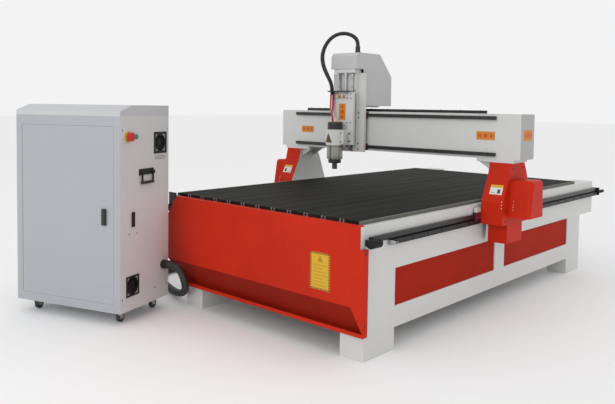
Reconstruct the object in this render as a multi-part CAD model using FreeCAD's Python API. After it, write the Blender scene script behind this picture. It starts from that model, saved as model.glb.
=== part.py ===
"""Gantry CNC router with a T-slot bed, a moving spindle carriage and its control cabinet.

Millimetres.  +Z is up and Z = 0 is the floor.  X = 0 and Y = 0 are the middle of the bed,
-Y is the front of the machine.  Every sub-part is written to parts/NODE.step.
"""
import FreeCAD, Part
import math
import os

Vector = FreeCAD.Vector

# ---------------------------------------------------------------- driving dimensions
BED_TOP = 690.0                 # working surface
BED_UNDER = 672.0               # underside of the slab, top of the steel frame
BED_HALF_X, BED_HALF_Y = 735.0, 1350.0
SLOT_PITCH, SLOT_COUNT = 122.5, 11
SLOT_NECK, SLOT_WIDE, CHANNEL_W = 8.0, 16.0, 30.0

FRAME_HALF_X = 762.0            # outer faces of the side beams
TUBE_W, TUBE_WALL = 148.0, 6.0
BEAM_Y0, BEAM_Y1, BEAM_Z0 = -1352.0, 1654.0, 425.0
LEG_FRONT, LEG_REAR = (-1352.0, -1094.0), (1159.0, 1402.0)
LEFT_LEG_INSET = 134.0
RAIL_Z0, RAIL_Z1 = 116.0, 227.0 # lower side rails
POST_Y = (-7.0, 124.0)

LINEAR_W, LINEAR_H = 22.0, 18.0  # profile rail section
Y_RAIL_Z = 605.0
Y_RACK_Z0, Y_RACK_Z1 = 556.0, 582.0
MODULE, PINION_TEETH = 3.0, 20
PITCH_R = MODULE * PINION_TEETH / 2.0
PINION_Y = -84.0
PINION_Z = Y_RACK_Z0 + MODULE - PITCH_R
SHAFT_R, BEARING_R = 12.0, 12.05
PULLEY_X0, PULLEY_X1 = 850.0, 872.0
DRIVEN_R, DRIVER_R = 44.0, 22.0

BEAM_HALF_X, BEAM_Y, BEAM_Z = 981.0, (-155.0, 27.0), (943.0, 1216.0)
X_RAIL_HALF, X_RAIL_Z = 825.0, (970.0, 1191.0)
LEG_IN, LEG_OUT, COVER_OUT = 788.0, 803.0, 925.0
MOTOR_Z, MOTOR_BOX_OUT = 715.0, 1061.0
COVER_SHEET = 3.0
COVER_OUTLINE = [(-155, 923), (-175, 843), (-250, 693), (-250, 557), (138, 557), (127, 686), (65, 852),
                 (27, 923)]

PANEL_FACE, PANEL_BACK, PANEL_SHEET = -1390.0, -1352.0, 3.0
PANEL_OUTLINE = [(785, 674), (-688, 674), (-730, 634), (-771, 566), (-785, 558), (-785, 278),
                 (-592, 131.5), (785, 131.5)]

CARR_X = -285.0                 # carriage centre at rest
CARR_HALF, CARR_Y, CARR_Z = 141.0, (-203.0, -183.0), (933.0, 1484.0)
SCREW_Y, SCREW_R = -237.0, 8.0
X_PINION_Y = -55.0 + PITCH_R
SPINDLE_Y, SPINDLE_R = -347.0, 55.0
COLLET_Z, COLLET_R = 814.0, 6.35

CAB_W, CAB_D, CAB_Z0, CAB_Z1, CAB_TOP = 758.0, 456.0, 75.0, 1177.0, 1239.0
CAB_CORNER, CAB_TURN = Vector(-1227.2, -2154.8, 0), 19.44
CAB_WALL = 2.0
DOOR_A, DOOR_Z, DOOR_T = (45.0, 711.0), (125.0, 1120.0), 18.0
HINGE_A, HINGE_B, HINGE_PIN_R = 49.0, 5.5, 3.0
FAN_UPPER, FAN_LOWER = (370.0, 1019.0), (107.5, 213.5)
STOP_AT, START_AT, GLAND_AT, LATCH_AT = (65.0, 1063.0), (137.0, 1062.0), (400.0, 277.0), (107.0, 594.0)
BAIL_A, BAIL_Z, BAIL_B = CAB_W + 12, 852.0, (165.0, 302.0)
CASTERS = {"front_left": (75, 75), "front_right": (CAB_W - 75, 75),
           "rear_left": (75, CAB_D - 75), "rear_right": (CAB_W - 75, CAB_D - 75)}
WHEEL_R, WHEEL_W, TRAIL = 28.0, 22.0, 18.0

GAP = 0.3                       # clearance between pieces that move past each other

# Free routes, point by point: cabinet conduit and spindle hose.
CONDUIT_D, HOSE_D = 45.0, 30.0
CONDUIT_ROUTE = [
    (-603.0, -1510.3, 277), (-566.3, -1497.4, 277), (-537, -1482, 251), (-527, -1463, 208),
    (-535, -1442, 162), (-562, -1418, 120), (-608, -1393, 86), (-674, -1363, 58),
    (-768, -1328, 37), (-885, -1284, 25), (-1010, -1238, 24), (-1140, -1185, 24),
    (-1262, -1100, 24), (-1340, -975, 24), (-1325, -828, 24), (-1208, -728, 24),
    (-1062, -686, 25), (-935, -676, 50), (-842, -678, 103), (-765, -680, 150),
    (-706, -680, 172), (-668, -680, 172)]
HOSE_ROUTE = [
    (-262, -138, 1676), (-262, -138, 1716), (-298, -149, 1754), (-356, -180, 1774), (-415, -220, 1756),
    (-455, -256, 1702), (-468, -288, 1620), (-440, -308, 1540), (-394, -314, 1468), (-364, -292, 1398),
    (-364, -292, 1330)]


# ---------------------------------------------------------------- helpers
def box(x0, x1, y0, y1, z0, z1):
    return Part.makeBox(x1 - x0, y1 - y0, z1 - z0, Vector(x0, y0, z0))


def cyl(radius, start, direction, length):
    return Part.makeCylinder(radius, length, Vector(*start), Vector(*direction))


def prism(points, sweep):
    """Closed outline of 3-D points pushed along the sweep vector."""
    corners = [Vector(*p) for p in points]
    return Part.Face(Part.makePolygon(corners + corners[:1])).extrude(Vector(*sweep))


def prism_x(outline_yz, x0, x1):
    return prism([(x0, y, z) for y, z in outline_yz], (x1 - x0, 0, 0))


def prism_y(outline_xz, y0, y1):
    return prism([(x, y0, z) for x, z in outline_xz], (0, y1 - y0, 0))


def tube(x0, x1, y0, y1, z0, z1, axis, wall=TUBE_WALL):
    """Rectangular tube, open at both ends of the named axis."""
    inner = {"x": (0, wall, wall), "y": (wall, 0, wall), "z": (wall, wall, 0)}[axis]
    dx, dy, dz = inner
    return box(x0, x1, y0, y1, z0, z1).cut(box(x0 + dx, x1 - dx, y0 + dy, y1 - dy, z0 + dz, z1 - dz))


def mirrored(shape):
    return shape.mirror(Vector(0, 0, 0), Vector(1, 0, 0))


def both_sides(shapes):
    """The right-hand shapes and their mirror images."""
    return list(shapes) + [mirrored(s) for s in shapes]


def rounded(shape, radius, picks):
    """Fillet the straight edges whose midpoint passes the test."""
    edges = [e for e in shape.Edges if picks(e.CenterOfMass, e.tangentAt(e.FirstParameter))]
    return shape.makeFillet(radius, edges)


def inset(outline, t):
    """Outline moved inwards by t, as a list of points."""
    wire = Part.makePolygon([Vector(a, b, 0) for a, b in outline + outline[:1]])
    inner = wire.makeOffset2D(-t, 2)
    if abs(Part.Face(inner).Area) > abs(Part.Face(wire).Area):
        inner = wire.makeOffset2D(t, 2)
    return [(v.X, v.Y) for v in inner.OrderedVertexes]


def fused(first, *others):
    return first.fuse(list(others)).removeSplitter()


def tube_along(route, diameter):
    """Round solid along straight runs joined by tangent arcs, and the radii of those arcs."""
    points = [Vector(*p) for p in route]
    edges, radii, here = [], [], points[0]
    for before, corner, after in zip(points, points[1:], points[2:]):
        into, out = corner - before, after - corner
        half = into.getAngle(out) / 2.0
        cut = 0.45 * min(into.Length, out.Length)
        radii.append(cut / math.tan(half))
        start = corner - into.normalize() * cut
        end = corner + out.normalize() * cut
        inward = (out - into).normalize()
        middle = corner + inward * (radii[-1] * (1 / math.cos(half) - 1))
        edges.append(Part.LineSegment(here, start).toShape())
        edges.append(Part.Arc(start, middle, end).toShape())
        here = end
    edges.append(Part.LineSegment(here, points[-1]).toShape())
    path = Part.Wire(edges)
    ring = Part.Wire([Part.Circle(points[0], points[1] - points[0], diameter / 2.0).toShape()])
    solid = path.makePipeShell([ring], True, False)
    return solid, path.Length, radii


def write(name, *shapes):
    shape = shapes[0] if len(shapes) == 1 else Part.makeCompound(list(shapes))
    shape.exportStep("parts/%s.step" % name)


# ---------------------------------------------------------------- steel base
def base_frame():
    inner = FRAME_HALF_X - TUBE_W
    shift = LEFT_LEG_INSET
    beam = box(inner, FRAME_HALF_X, BEAM_Y0, BEAM_Y1 - TUBE_WALL, BEAM_Z0, BED_UNDER)
    beam = beam.cut(box(inner + TUBE_WALL, FRAME_HALF_X - TUBE_WALL, BEAM_Y0 + TUBE_WALL, BEAM_Y1,
                        BEAM_Z0 + TUBE_WALL, BED_UNDER - TUBE_WALL))
    cap = box(inner, FRAME_HALF_X, BEAM_Y1 - TUBE_WALL, BEAM_Y1, BEAM_Z0, BED_UNDER)
    lip = box(FRAME_HALF_X - 6, FRAME_HALF_X, PANEL_FACE + PANEL_SHEET, BEAM_Y0, 561, 671)
    write("side_beams", *both_sides([beam, cap]), lip)

    legs, rails = [], []
    for x0 in (inner, -FRAME_HALF_X + shift):
        x1 = x0 + TUBE_W
        for y0, y1 in (LEG_FRONT, LEG_REAR):
            leg = box(x0, x1, y0, y1, 0, BEAM_Z0)
            pocket = box(x0 + TUBE_WALL, x1 - TUBE_WALL, y0 + TUBE_WALL, y1 - TUBE_WALL, 12, BEAM_Z0 + 1)
            legs.append(leg.cut(pocket))
        rails.append(tube(x0, x1, LEG_FRONT[1], LEG_REAR[0], RAIL_Z0, RAIL_Z1, "y"))
        rails.append(tube(x0, x1, POST_Y[0], POST_Y[1], RAIL_Z1, BEAM_Z0, "z"))
    write("legs", *legs)

    # outriggers carry the left beam beyond the inset left legs
    for y0, y1 in (LEG_FRONT, POST_Y, LEG_REAR):
        rails.append(tube(-FRAME_HALF_X, -FRAME_HALF_X + shift, y0, y1, BEAM_Z0 - 100, BEAM_Z0, "x"))
    # ties between the left and right legs
    for y0, y1 in (LEG_FRONT, LEG_REAR):
        middle = (y0 + y1) / 2
        rails.append(tube(-FRAME_HALF_X + shift + TUBE_W, inner, middle - 50, middle + 50, 300, 400, "x"))
    # cross members under the bed
    count = 7
    for i in range(count):
        y = (i - (count - 1) / 2) * 2 * (BED_HALF_Y - 100) / (count - 1)
        rails.append(tube(-inner, inner, y - 40, y + 40, BED_UNDER - 100, BED_UNDER, "x", 5.0))
    write("cross_members", *rails)


def side_panels():
    recess, sheet = 7.0, 3.0
    panels = []
    for face in (FRAME_HALF_X, -FRAME_HALF_X + LEFT_LEG_INSET):
        side = math.copysign(1, face)
        x0, x1 = sorted((face - side * recess, face - side * (recess + sheet)))
        for y0, y1 in ((LEG_FRONT[1], POST_Y[0]), (POST_Y[1], LEG_REAR[0])):
            panels.append(box(x0, x1, y0, y1, RAIL_Z1, BEAM_Z0))
    write("side_panels", *panels)


def solid_of(faces):
    """Solid bounded by flat faces, each a list of corner points."""
    made = [Part.Face(Part.makePolygon([Vector(*p) for p in face + face[:1]])) for face in faces]
    solid = Part.Solid(Part.makeShell(made))
    solid.fix(1e-4, 1e-4, 1e-4)
    return solid


def kick_recess(depth, floor):
    """Space in front of the inward-sloping lower part of the panel."""
    face, deep = PANEL_FACE - 1, PANEL_FACE + depth
    left, crease_l, crease_r = (-785, face, 278), (-525, face, 274), (705, face, 274)
    hip, low_l, low_r = (776, face, 160), (-592, face, floor), (779, face, floor)
    deep_l, deep_r = (-602, deep, floor), (776, deep, floor)
    return solid_of([[left, crease_l, crease_r, hip, low_r, low_l], [crease_l, crease_r, deep_r, deep_l],
                     [left, crease_l, deep_l], [left, deep_l, low_l], [low_l, deep_l, deep_r, low_r],
                     [crease_r, hip, deep_r], [hip, low_r, deep_r]])


def front_panel():
    t = PANEL_SHEET
    panel = prism_y(PANEL_OUTLINE, PANEL_FACE, PANEL_BACK).cut(kick_recess(35, 151))
    hollow = prism_y(inset(PANEL_OUTLINE, t), PANEL_FACE + t, PANEL_BACK + 1).cut(kick_recess(35 + t, 148))
    notch = box(FRAME_HALF_X, 800, -1500, -1300, 561, 700)
    sill = box(FRAME_HALF_X - t, 782, PANEL_FACE + t, PANEL_BACK, 558, 561)
    lip = box(FRAME_HALF_X - 6, 800, PANEL_FACE + t, PANEL_BACK, 561, 671)
    write("front_panel", fused(panel.cut(hollow).cut(notch).cut(lip), sill))


def bed():
    channels, strips = [], []
    half = (SLOT_COUNT - 1) / 2
    edges = []
    for i in range(SLOT_COUNT):
        x = (i - half) * SLOT_PITCH
        channel = box(x - CHANNEL_W / 2, x + CHANNEL_W / 2, -BED_HALF_Y, BED_HALF_Y, BED_UNDER, BED_TOP)
        wide = box(x - SLOT_WIDE / 2, x + SLOT_WIDE / 2, -BED_HALF_Y, BED_HALF_Y, BED_UNDER + 3, BED_TOP - 5)
        neck = box(x - SLOT_NECK / 2, x + SLOT_NECK / 2, -BED_HALF_Y, BED_HALF_Y, BED_UNDER + 3, BED_TOP)
        channels.append(channel.cut(wide).cut(neck))
        edges += [x - CHANNEL_W / 2, x + CHANNEL_W / 2]
    rim = 14.0
    bounds = [-BED_HALF_X + rim] + edges + [BED_HALF_X - rim]
    for x0, x1 in zip(bounds[::2], bounds[1::2]):
        strips.append(box(x0, x1, -BED_HALF_Y, BED_HALF_Y, BED_UNDER, BED_TOP))
    for side in (-1, 1):
        x0, x1 = sorted((side * BED_HALF_X, side * (BED_HALF_X - rim)))
        channels.append(box(x0, x1, -BED_HALF_Y, BED_HALF_Y, BED_UNDER, BED_TOP))
    write("t_slot_channels", *channels)
    write("pvc_strips", *strips)


# ---------------------------------------------------------------- racks and gears
def rack_outline(length, mesh_at, back):
    """Rack profile as (along, height) points: teeth point to +height, pitch line at height 0."""
    pitch = math.pi * MODULE
    add, ded = MODULE, 1.25 * MODULE
    half_tip = pitch / 4 - 0.1 - add * math.tan(math.radians(20))
    half_root = pitch / 4 - 0.1 + ded * math.tan(math.radians(20))
    first = (mesh_at - pitch / 2) % pitch
    points = [(0, -ded)]
    centre = first if first > half_root else first + pitch
    while centre + half_root < length:
        points += [(centre - half_root, -ded), (centre - half_tip, add),
                   (centre + half_tip, add), (centre + half_root, -ded)]
        centre += pitch
    points += [(length, -ded), (length, -back), (0, -back)]
    return points


def pinion_outline():
    """Gear profile as (x, y) points with one tooth pointing along +x."""
    backlash = 0.012
    tooth = [(PITCH_R - 1.3 * MODULE, 0.1000), (PITCH_R - 0.6 * MODULE, 0.0934), (PITCH_R, 0.0785),
             (PITCH_R + 0.5 * MODULE, 0.0585), (PITCH_R + MODULE, 0.0317)]
    points = []
    for i in range(PINION_TEETH):
        middle = 2 * math.pi * i / PINION_TEETH
        flank = [(r, middle - half + backlash) for r, half in tooth]
        flank += [(r, middle + half - backlash) for r, half in reversed(tooth)]
        points += [(r * math.cos(a), r * math.sin(a)) for r, a in flank]
    return points


def y_axis_rails():
    length = 3029.0
    rail = box(FRAME_HALF_X, FRAME_HALF_X + LINEAR_H, -1322, -1322 + length,
               Y_RAIL_Z - LINEAR_W / 2, Y_RAIL_Z + LINEAR_W / 2)
    write("y_rails", *both_sides([rail]))
    rack_y0, rack_length = -1168.0, 2868.0
    outline = rack_outline(rack_length, PINION_Y - rack_y0, Y_RACK_Z1 - Y_RACK_Z0 - MODULE)
    teeth_z = Y_RACK_Z0 + MODULE
    rack = prism_x([(rack_y0 + s, teeth_z - h) for s, h in outline], FRAME_HALF_X, FRAME_HALF_X + 22)
    strip = box(FRAME_HALF_X, FRAME_HALF_X + 3, -1262, 1700, Y_RACK_Z1, Y_RAIL_Z - LINEAR_W / 2)
    write("y_racks", *both_sides([rack, strip]))

    # rubber buffers on a bracket at each end of the rail
    stop_x, stop_z, stop_r = FRAME_HALF_X + 42, 590.0, 23.0
    web = box(FRAME_HALF_X, FRAME_HALF_X + 3, -1345, -1270, 570, 592)
    plate = box(FRAME_HALF_X, stop_x + 10, BEAM_Y0, -1345, 575, 605)
    front = cyl(stop_r, (stop_x, -1366, stop_z), (0, 1, 0), 73)
    rear_web = box(FRAME_HALF_X - 20, FRAME_HALF_X, BEAM_Y1, 1722, 556, 616)
    rear_plate = box(FRAME_HALF_X, FRAME_HALF_X + 35, 1712, 1722, 556, 616)
    rear = cyl(13, (FRAME_HALF_X + 16, 1722, 578), (0, 1, 0), 127)
    write("rail_buffers", *both_sides([fused(plate, web, front), fused(rear_web, rear_plate), rear]))


# ---------------------------------------------------------------- gantry


def gantry_beam():
    wall = 6.0
    y0, y1 = BEAM_Y
    z0, z1 = BEAM_Z
    half = BEAM_HALF_X - 4
    body = tube(-half, half, y0, y1, z0, z1, "x", wall)
    caps = [box(half, BEAM_HALF_X, y0, y1, z0, z1)]
    write("gantry_beam", body, *both_sides(caps))

    rails = [box(-X_RAIL_HALF, X_RAIL_HALF, y0 - LINEAR_H, y0, z - LINEAR_W / 2, z + LINEAR_W / 2)
             for z in X_RAIL_Z]
    write("x_rails", *rails)

    rack_x0, rack_length, pitch_y = -795.0, 1507.0, -55.0
    outline = rack_outline(rack_length, CARR_X - rack_x0, 19.0)
    rack = prism([(rack_x0 + s, pitch_y + h, z1) for s, h in outline], (0, 0, 19))
    write("x_rack", rack)


def plate_outline():
    """Upper part of the leg plate, as (y, z) points just inside the cover."""
    return [(y, 923 if z > 900 else z) for y, z in inset(COVER_OUTLINE, COVER_SHEET)]


def gantry_legs():
    plate = fused(prism_x(plate_outline(), LEG_IN, LEG_OUT), box(LEG_IN, LEG_OUT, -184, 17, 445, 600))
    plate = plate.cut(cyl(BEARING_R, (LEG_IN - 1, PINION_Y, PINION_Z), (1, 0, 0), 20))
    flange = box(700, 940, BEAM_Y[0], BEAM_Y[1], BEAM_Z[0] - 20, BEAM_Z[0])
    web_y = ((-130, -118), (-10, 2))
    gussets = [prism_y([(700, 923), (LEG_IN, 923), (LEG_IN, 868)], y0, y1) for y0, y1 in web_y]
    write("gantry_legs", *both_sides([plate, flange] + gussets))


def gantry_covers():
    sheet = COVER_SHEET
    cover = prism_x(COVER_OUTLINE, LEG_IN, COVER_OUT)
    inner = [(y, z - (10 if z < 600 else 0)) for y, z in inset(COVER_OUTLINE, sheet)]
    cover = cover.cut(prism_x(inner, LEG_IN - 1, COVER_OUT - sheet))
    cover = cover.cut(prism_x(plate_outline(), LEG_IN - 1, LEG_OUT))
    window = box(COVER_OUT - 5, COVER_OUT + 1, -140, -8, 655, 775)
    cover = cover.cut(window)

    low = box(LEG_OUT, COVER_OUT, -184, 17, 442, 557)
    low = low.cut(box(LEG_OUT - 1, COVER_OUT - sheet, -184 + sheet, 17 - sheet, 442 + sheet, 560))

    outline = [(-185, 605), (-149, 825), (6, 825), (17, 605)]
    motor_box = prism_x(outline, COVER_OUT, MOTOR_BOX_OUT)
    corner = 22.0
    motor_box = rounded(motor_box, corner, lambda c, d: c.z > 820 or (c.x > MOTOR_BOX_OUT - 1 and c.z > 610))
    cavity = prism_x(inset(outline, sheet), COVER_OUT - 1, MOTOR_BOX_OUT - sheet)
    cavity = rounded(cavity, corner - sheet,
                     lambda c, d: c.z > 817 or (c.x > MOTOR_BOX_OUT - sheet - 1 and c.z > 612))
    motor_box = motor_box.cut(cavity)
    # shallow pressed grooves on the front of the motor box
    for i in range(8):
        z0 = 640.0 + i * 17
        z1 = z0 + 5
        y0, y1 = [-185 + (z - 605) * 36 / 220 for z in (z0, z1)]
        groove = prism_x([(y0 - 4, z0), (y0 + 1.2, z0), (y1 + 1.2, z1), (y1 - 4, z1)], 962, 1040)
        motor_box = motor_box.cut(groove)
    write("gantry_covers", *both_sides([cover, low, motor_box]))


def y_blocks():
    blocks = []
    for y0 in (-305.0, 55.0):
        block = box(FRAME_HALF_X + 4, LEG_IN, y0, y0 + 80, Y_RAIL_Z - 21, Y_RAIL_Z + 21)
        channel = box(FRAME_HALF_X, FRAME_HALF_X + LINEAR_H + GAP, y0 - 1, y0 + 81,
                      Y_RAIL_Z - LINEAR_W / 2 - GAP, Y_RAIL_Z + LINEAR_W / 2 + GAP)
        blocks.append(block.cut(channel))
    write("y_blocks", *both_sides(blocks))


def y_drives():
    """Stepper motor, belt and pinion shaft on each end of the gantry."""
    size, bolt = 43.0, 48.0
    motor = box(930, 1045, PINION_Y - size, PINION_Y + size, MOTOR_Z - size, MOTOR_Z + size)
    pillars = [cyl(5, (LEG_OUT, PINION_Y + sy * 44, MOTOR_Z + sz * 44), (1, 0, 0), 121)
               for sy in (-1, 1) for sz in (-1, 1)]
    flange = box(924, 930, PINION_Y - 50, PINION_Y + 50, MOTOR_Z - 50, MOTOR_Z + 50)
    flange = flange.cut(cyl(12, (920, PINION_Y, MOTOR_Z), (1, 0, 0), 12))
    write("y_motors", *both_sides([motor, flange] + pillars))

    # belt: two arcs and two straight flanks round both pulleys
    span = MOTOR_Z - PINION_Z
    outer = belt_loop(span, 3.0 + GAP)
    inner = belt_loop(span, GAP)
    belt = outer.cut(inner)
    write("y_drive_belts", *both_sides([belt]))

    gear = prism([(FRAME_HALF_X + 2, y, z) for y, z in
                  [(PINION_Y + y, PINION_Z + x) for x, y in pinion_outline()]], (20, 0, 0))
    shaft = cyl(SHAFT_R, (FRAME_HALF_X + 22, PINION_Y, PINION_Z), (1, 0, 0), 915 - FRAME_HALF_X - 22)
    collar = cyl(18, (LEG_OUT + 0.5, PINION_Y, PINION_Z), (1, 0, 0), 12)
    wheel = cyl(DRIVEN_R, (PULLEY_X0, PINION_Y, PINION_Z), (1, 0, 0), PULLEY_X1 - PULLEY_X0)
    train = fused(gear, shaft, collar, wheel)
    driver = fused(cyl(DRIVER_R, (PULLEY_X0, PINION_Y, MOTOR_Z), (1, 0, 0), PULLEY_X1 - PULLEY_X0),
                   cyl(7, (PULLEY_X1, PINION_Y, MOTOR_Z), (1, 0, 0), 929 - PULLEY_X1))
    for side, place in (("right", lambda s: s), ("left", mirrored)):
        write("y_pinion_" + side, place(train))
        write("y_motor_pulley_" + side, place(driver))


def belt_loop(span, grow):
    """Filled belt outline round the two pulleys, with both radii enlarged by grow."""
    big, small = DRIVEN_R + grow, DRIVER_R + grow
    tilt = math.asin((big - small) / span)
    low, high = Vector(0, PINION_Y, PINION_Z), Vector(0, PINION_Y, MOTOR_Z)

    def at(centre, radius, angle):
        return centre + Vector(0, radius * math.cos(angle), radius * math.sin(angle))

    a, b = at(low, big, tilt), at(high, small, tilt)
    c, d = at(high, small, math.pi - tilt), at(low, big, math.pi - tilt)
    wire = Part.Wire([Part.LineSegment(a, b).toShape(),
                      Part.Arc(b, at(high, small, math.pi / 2), c).toShape(),
                      Part.LineSegment(c, d).toShape(),
                      Part.Arc(d, at(low, big, -math.pi / 2), a).toShape()])
    loop = Part.Face(wire).extrude(Vector(PULLEY_X1 - PULLEY_X0 - 2, 0, 0))
    loop.translate(Vector(PULLEY_X0 + 1, 0, 0))
    return loop


# ---------------------------------------------------------------- X carriage
def x_carriage():
    y0, y1 = CARR_Y
    z0, z1 = CARR_Z
    plate = box(CARR_X - CARR_HALF, CARR_X + CARR_HALF, y0, y1, z0, z1)
    pad = box(CARR_X - 86, CARR_X + 86, y0 - 18, y0, z0, z1)
    top = box(CARR_X - 92, CARR_X + 92, -258, y1, z1, z1 + 27)
    top = top.cut(cyl(13, (CARR_X, SCREW_Y, z1 - 1), (0, 0, 1), 30))
    bearing = box(CARR_X - 22, CARR_X + 22, -250, y0 - 18, 940, 962)
    bearing = bearing.cut(cyl(SCREW_R + 0.05, (CARR_X, SCREW_Y, 939), (0, 0, 1), 30))
    shelf = box(CARR_X - 70, CARR_X + 70, y1, 60, 1245, 1257)
    shelf = shelf.cut(cyl(10, (CARR_X, X_PINION_Y, 1240), (0, 0, 1), 20))
    write("x_carriage_plate", plate, pad, top, bearing, shelf)

    blocks = []
    for z in X_RAIL_Z:
        for x0 in (CARR_X - CARR_HALF, CARR_X + CARR_HALF - 70):
            block = box(x0, x0 + 70, y1, BEAM_Y[0] - 2, z - 22, z + 22)
            channel = box(x0 - 1, x0 + 71, BEAM_Y[0] - LINEAR_H - GAP, 0,
                          z - LINEAR_W / 2 - GAP, z + LINEAR_W / 2 + GAP)
            blocks.append(block.cut(channel))
    write("x_blocks", *blocks)

    rails = [box(CARR_X + s * 56 - 8, CARR_X + s * 56 + 8, y0 - 18 - 16, y0 - 18, 937, 1478) for s in (-1, 1)]
    write("z_rails", *rails)


def x_drive():
    """Vertical motor on the carriage shelf, turning the pinion against the beam's rack."""
    size = 43.0
    motor = box(CARR_X - size, CARR_X + size, X_PINION_Y - size, X_PINION_Y + size, 1257, 1360)
    z_size = 28.5
    z_motor = box(CARR_X - z_size, CARR_X + z_size, SCREW_Y + 7 - z_size, SCREW_Y + 7 + z_size, 1511, 1590)
    write("carriage_motors", motor, z_motor)
    # one tooth space faces the rack: the gear's tooth at +x is turned to -Y
    gear = prism([(CARR_X + y, X_PINION_Y - x, BEAM_Z[1] + 2) for x, y in pinion_outline()], (0, 0, 16))
    shaft = cyl(8, (CARR_X, X_PINION_Y, BEAM_Z[1] + 18), (0, 0, 1), 1256 - BEAM_Z[1] - 18)
    write("x_pinion", fused(gear, shaft))


def hood():
    half, sheet = 115.0, 2.0
    outline = [(-263, 1511), (-263, 1600), (-239, 1624), (2, 1624), (147, 1469), (150, 1255), (-183, 1255),
               (-183, 1511)]
    shell = prism_x(outline, CARR_X - half, CARR_X + half)
    cavity = [(-261, 1513), (-261, 1599), (-238, 1622), (1, 1622), (145, 1468), (148, 1254), (-184, 1254),
              (-184, 1513)]
    shell = shell.cut(prism_x(cavity, CARR_X - half + sheet, CARR_X + half - sheet))
    shell = shell.cut(box(CARR_X - 92 - GAP, CARR_X + 92 + GAP, -260, -180, 1500, 1514))
    shell = shell.cut(cyl(12, (-262, -138, 1600), (0, 0, 1), 40))
    write("hood", shell)
    gland = fused(cyl(17.5, (-262, -138, 1624), (0, 0, 1), 52), cyl(21, (-262, -138, 1624), (0, 0, 1), 14))
    write("hose_gland", gland)


def z_screw():
    screw = cyl(SCREW_R, (CARR_X, SCREW_Y, 941), (0, 0, 1), 1470 - 941)
    coupling = cyl(12, (CARR_X, SCREW_Y, 1470), (0, 0, 1), 38)
    write("z_screw", fused(screw, coupling))


# ---------------------------------------------------------------- Z slide and spindle
def z_slide():
    plate = box(CARR_X - 98, CARR_X + 98, -273, -253, 983, 1350)
    write("z_plate", plate)
    blocks = []
    for s in (-1, 1):
        for z0 in (1060.0, 1272.0):
            x = CARR_X + s * 56
            block = box(x - 20, x + 20, -253, -224, z0, z0 + 60)
            channel = box(x - 8 - GAP, x + 8 + GAP, -237 - GAP, -220, z0 - 1, z0 + 61)
            blocks.append(block.cut(channel))
    nut = box(CARR_X - 20, CARR_X + 20, -253, -224, 1165, 1215)
    blocks.append(nut.cut(cyl(SCREW_R + 0.05, (CARR_X, SCREW_Y, 1160), (0, 0, 1), 60)))
    write("z_blocks", *blocks)

    centre = (CARR_X, SPINDLE_Y, 983)
    clamp = fused(cyl(64, centre, (0, 0, 1), 105),
                  box(CARR_X - 60, CARR_X + 60, SPINDLE_Y, -273, 983, 1088),
                  box(CARR_X - 92, CARR_X + 92, -291, -273, 983, 1088))
    clamp = clamp.cut(cyl(SPINDLE_R + 0.05, centre, (0, 0, 1), 105))
    clamp = clamp.cut(box(CARR_X + 40, CARR_X + 70, SPINDLE_Y - 2, SPINDLE_Y + 2, 983, 1088))
    hose_x, hose_y, _ = HOSE_ROUTE[-1]
    arm = box(hose_x - 24, -225, hose_y - 22, -253, 1350, 1358)
    arm = arm.cut(cyl(HOSE_D / 2 + 1, (hose_x, hose_y, 1340), (0, 0, 1), 30))
    write("spindle_brackets", clamp, arm)


def spindle():
    body = fused(cyl(SPINDLE_R, (CARR_X, SPINDLE_Y, 885), (0, 0, 1), 205),
                 cyl(43, (CARR_X, SPINDLE_Y, 858), (0, 0, 1), 27))
    body = body.cut(cyl(15.05, (CARR_X, SPINDLE_Y, 850), (0, 0, 1), 230))
    write("spindle_body", body)
    cap = cyl(52, (CARR_X, SPINDLE_Y, 1090), (0, 0, 1), 50)
    cap = cap.makeFillet(8, [e for e in cap.Edges if e.CenterOfMass.z > 1139])
    write("spindle_cap", cap)

    shaft = cyl(15, (CARR_X, SPINDLE_Y, 853), (0, 0, 1), 222)
    nut = cyl(18, (CARR_X, SPINDLE_Y, COLLET_Z), (0, 0, 1), 39)
    nut = nut.cut(cyl(COLLET_R, (CARR_X, SPINDLE_Y, COLLET_Z - 1), (0, 0, 1), 41))
    for i in range(6):
        flat = box(16, 20, -12, 12, COLLET_Z - 1, COLLET_Z + 18)
        flat.rotate(Vector(0, 0, 0), Vector(0, 0, 1), 60 * i)
        flat.translate(Vector(CARR_X, SPINDLE_Y, 0))
        nut = nut.cut(flat)
    write("spindle_shaft", shaft, nut)

    leads = []
    top_x, top_y, top_z = HOSE_ROUTE[-1]
    for offset, radius, drop in ((-13.5, 6.0, 18), (-0.5, 4.0, 0), (12.3, 6.0, -16)):
        x0, x1, y1 = top_x + 0.8 * offset, CARR_X - 24 + offset, SPINDLE_Y + drop
        route = [(x0, top_y, top_z - 0.5), (x0, top_y, 1285), (x0 + 3, -300, 1235),
                 (-340 + offset, y1 + 22, 1196), (x1, y1, 1172), (x1, y1, 1140)]
        leads.append(tube_along(route, 2 * radius)[0])
    write("spindle_leads", *leads)


# ---------------------------------------------------------------- control cabinet (local a, b, z)
def in_room(shape):
    """Turn a shape from the cabinet's own corner frame into the machine frame."""
    shape = shape.copy()
    shape.rotate(Vector(0, 0, 0), Vector(0, 0, 1), CAB_TURN)
    shape.translate(CAB_CORNER)
    return shape


def write_cab(name, *shapes):
    write(name, *[in_room(s) for s in shapes])


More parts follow.
